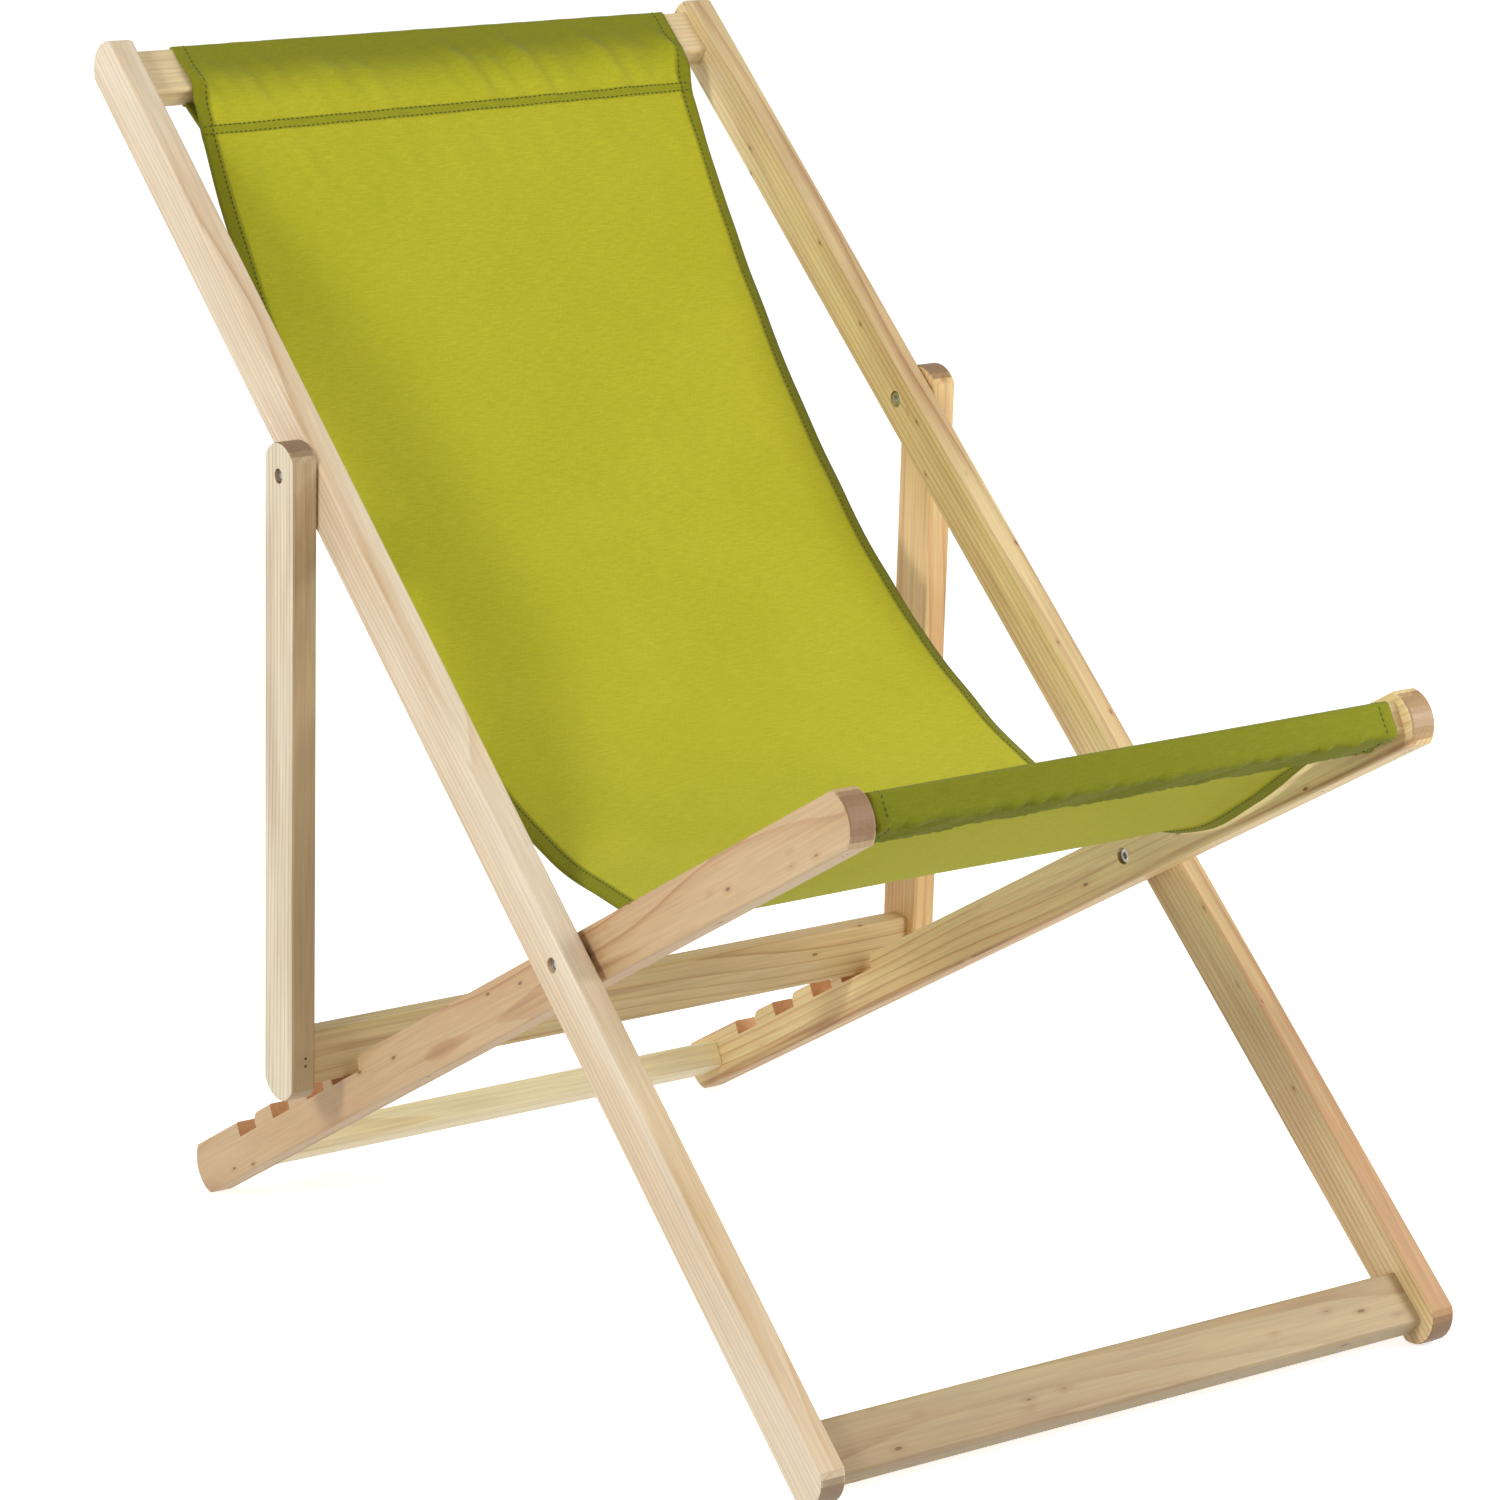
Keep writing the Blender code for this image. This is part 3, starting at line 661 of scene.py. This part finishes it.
def add_mesh(name, bm, mat):
    mesh = bpy.data.meshes.new(name)
    bm.to_mesh(mesh)
    bm.free()
    mesh.materials.append(mat)
    obj = bpy.data.objects.new(name, mesh)
    bpy.context.scene.collection.objects.link(obj)
    return obj


def build_sling(cloth):
    """A closed sheet: face side, back side and the four edges."""
    rows, columns = cloth.x.shape
    face = cloth.points + cloth.normal * HALF_SHEET
    back = cloth.points - cloth.normal * cloth.backs()[:, :, None]
    bm = bmesh.new()
    uv = bm.loops.layers.uv.new("cloth")
    # Painted shade at every point of the sling
    painted_shade_layer = bm.verts.layers.float.new("painted_backing_shade")
    painted_backing_shade = cloth.painted_backing_shade()
    sides = []
    where = {}
    for surface in (face, back):
        grid = [[bm.verts.new(surface[i, j]) for j in range(columns)] for i in range(rows)]
        for i, j in np.ndindex(rows, columns):
            grid[i][j][painted_shade_layer] = painted_backing_shade[i, j]
            where[grid[i][j]] = (cloth.x[i, j], cloth.along[i])
        sides.append(grid)

    def add_face(corners, is_smooth):
        made = bm.faces.new(corners)
        made.smooth = is_smooth
        for loop in made.loops:
            loop[uv].uv = where[loop.vert]

    for grid in sides:
        for i in range(rows - 1):
            for j in range(columns - 1):
                add_face((grid[i][j], grid[i + 1][j], grid[i + 1][j + 1], grid[i][j + 1]), True)
    low, high = sides
    for j in (0, columns - 1):
        for i in range(rows - 1):
            add_face((low[i][j], low[i + 1][j], high[i + 1][j], high[i][j]), False)
    for i in (0, rows - 1):
        for j in range(columns - 1):
            add_face((low[i][j], low[i][j + 1], high[i][j + 1], high[i][j]), False)
    bmesh.ops.recalc_face_normals(bm, faces=bm.faces)
    return add_mesh("sling_fabric", bm, canvas("lime_canvas"))


# ---- stitching ----

def on_cloth(cloth, along, from_edge, side):
    """Point and normal on the face side, at a length along the path and a distance from one edge."""
    row = min(max(np.interp(along, cloth.along, np.arange(len(cloth.along))), 0), len(cloth.along) - 1.001)
    i = int(row)
    t = row - i
    point = lerp_row(cloth, i, from_edge, side) * (1 - t) + lerp_row(cloth, i + 1, from_edge, side) * t
    return point[:3], point[3:] / np.linalg.norm(point[3:])


def lerp_row(cloth, i, from_edge, side):
    distance = cloth.from_left[i] if side < 0 else cloth.from_right[i][::-1]
    both = np.concatenate([cloth.points[i], cloth.normal[i]], axis=1)
    both = both if side < 0 else both[::-1]
    return np.array([np.interp(from_edge, distance, both[:, k]) for k in range(6)])


def add_stitch(bm, start, end, normal, raise_by):
    """A short thread that dips into the cloth at both ends."""
    axis = end - start
    span = np.linalg.norm(axis)
    axis = axis / span
    across = np.cross(axis, normal)
    rings = []
    for t, radius, height in STITCH_PROFILE:
        centre = start + axis * span * t + normal * (raise_by + height * THREAD_RADIUS)
        rings.append([
            bm.verts.new(centre + THREAD_RADIUS * radius * (math.cos(q) * across + math.sin(q) * normal))
            for q in (2 * math.pi * k / THREAD_SIDES for k in range(THREAD_SIDES))
        ])
    for low, high in zip(rings, rings[1:]):
        for k in range(THREAD_SIDES):
            after = (k + 1) % THREAD_SIDES
            made = bm.faces.new((low[k], low[after], high[after], high[k]))
            made.smooth = True
    bm.faces.new(rings[0][::-1])
    bm.faces.new(rings[-1])


def row_across(bm, cloth, along, tilt=0.0):
    """A row of stitches from one side edge to the other, drifting by tilt along the cloth."""
    i = int(np.argmin(abs(cloth.along - along)))
    width = cloth.x[i, -1] - cloth.x[i, 0]
    position = EDGE_TO_STITCH
    while position + STITCH_LENGTH < width - EDGE_TO_STITCH:
        drift = along + tilt * position / width
        start, normal = on_cloth(cloth, drift, position, -1)
        end, _ = on_cloth(cloth, drift, position + STITCH_LENGTH, -1)
        add_stitch(bm, start, end, normal, HALF_SHEET)
        position += STITCH_PITCH


def row_along(bm, cloth, first, last, from_edge, side, face=1, height=HALF_SHEET):
    """A row of stitches down one side hem, on the face side or behind."""
    position = first
    while position + STITCH_LENGTH < last:
        start, normal = on_cloth(cloth, position, from_edge, side)
        end, _ = on_cloth(cloth, position + STITCH_LENGTH, from_edge, side)
        add_stitch(bm, start, end, face * normal, height)
        position += STITCH_PITCH


def build_stitching(cloth):
    bm = bmesh.new()
    end = cloth.along[cloth.front_seam_row]
    for along in SEAM_ROWS:
        row_across(bm, cloth, along, cloth.seam_tilt()[0, -1])
    for before_seam in FRONT_ROWS:
        row_across(bm, cloth, end + before_seam)
    for side in (-1, 1):
        row_along(bm, cloth, cloth.along[4], cloth.along[-5], FACE_HEM_ROW, side)
        behind = (BACK_ROW_MARGIN, end - BACK_ROW_MARGIN, BACK_HEM_ROW)
        row_along(bm, cloth, *behind, side, -1, HALF_SHEET + HEM_EXTRA)
    bmesh.ops.recalc_face_normals(bm, faces=bm.faces)
    return add_mesh("sling_stitching", bm, thread("lime_thread", THREAD_TONE))


def dress_sling():
    cloth = Cloth()
    fabric = build_sling(cloth)
    stitching = build_stitching(cloth)
    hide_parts("sling")
    for piece in (fabric, stitching):
        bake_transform(piece)


# ---- studio ----

def build_camera():
    data = bpy.data.cameras.new("camera")
    data.lens = CAMERA_LENS
    data.sensor_width = 36.0
    camera = bpy.data.objects.new("camera", data)
    camera.location = CAMERA_AT
    camera.rotation_euler = [math.radians(angle) for angle in CAMERA_TURN]
    bpy.context.scene.collection.objects.link(camera)
    bpy.context.scene.camera = camera


def glowing_white(name, base, glow):
    mat, _, shader = new_material(name)
    shader.inputs["Base Color"].default_value = (base, base, base, 1.0)
    shader.inputs["Roughness"].default_value = 0.9
    shader.inputs["Specular IOR Level"].default_value = 0.0
    shader.inputs["Emission Color"].default_value = (1.0, 1.0, 1.0, 1.0)
    shader.inputs["Emission Strength"].default_value = glow
    return mat


def build_stage():
    """A wide pale floor and a white backdrop all round; neither lights the chair."""
    bm = bmesh.new()
    bmesh.ops.create_circle(bm, cap_ends=True, segments=96, radius=STAGE_RADIUS)
    floor = add_mesh("studio_floor", bm, glowing_white("studio_floor", 0.80, 0.68))
    floor.location.z = -0.0005
    bm = bmesh.new()
    bmesh.ops.create_cone(bm, segments=96, radius1=STAGE_RADIUS, radius2=STAGE_RADIUS, depth=STAGE_RADIUS)
    backdrop = add_mesh("studio_backdrop", bm, glowing_white("studio_backdrop", 0.0, 1.0))
    backdrop.visible_shadow = False
    for piece in (floor, backdrop):
        piece.visible_diffuse = False


def add_softbox(name, at, size, power, aim=(0.0, 0.0, 0.45)):
    data = bpy.data.lights.new(name, "AREA")
    data.shape = "RECTANGLE"
    data.size = size[0]
    data.size_y = size[1]
    data.energy = power
    light = bpy.data.objects.new(name, data)
    light.location = at
    light.rotation_euler = (Vector(aim) - Vector(at)).to_track_quat("-Z", "Y").to_euler()
    light.visible_camera = False
    bpy.context.scene.collection.objects.link(light)


def build_light():
    world = bpy.data.worlds.new("studio")
    bpy.context.scene.world = world
    world.use_nodes = True
    tree = world.node_tree
    background = tree.nodes["Background"]
    background.inputs["Color"].default_value = (1.0, 1.0, 1.0, 1.0)
    texture = tree.nodes.new("ShaderNodeTexCoord")
    height = parts_of(tree, texture.outputs["Generated"])[2]
    # Brighter below, like light thrown back by a white floor
    tree.links.new(remap(tree, height, -0.8, 0.0, 0.76, 0.50), background.inputs["Strength"])
    # name, place, size, power in watts
    add_softbox("left", (-3.6, -0.9, 2.2), (0.9, 0.9), 69.0)
    add_softbox("front", (2.0, -3.7, 3.2), (1.0, 1.0), 46.0)
    add_softbox("back", (-1.8, 3.4, 3.0), (2.0, 2.0), 30.0)
    add_softbox("right", (0.75, -1.0, 0.65), (0.3, 0.3), 5.0, aim=(0.25, -0.45, 0.46))
    bpy.context.scene.view_settings.view_transform = "Standard"


build_camera()
build_stage()
build_light()
dress_wood()
dress_metal()
dress_sling()
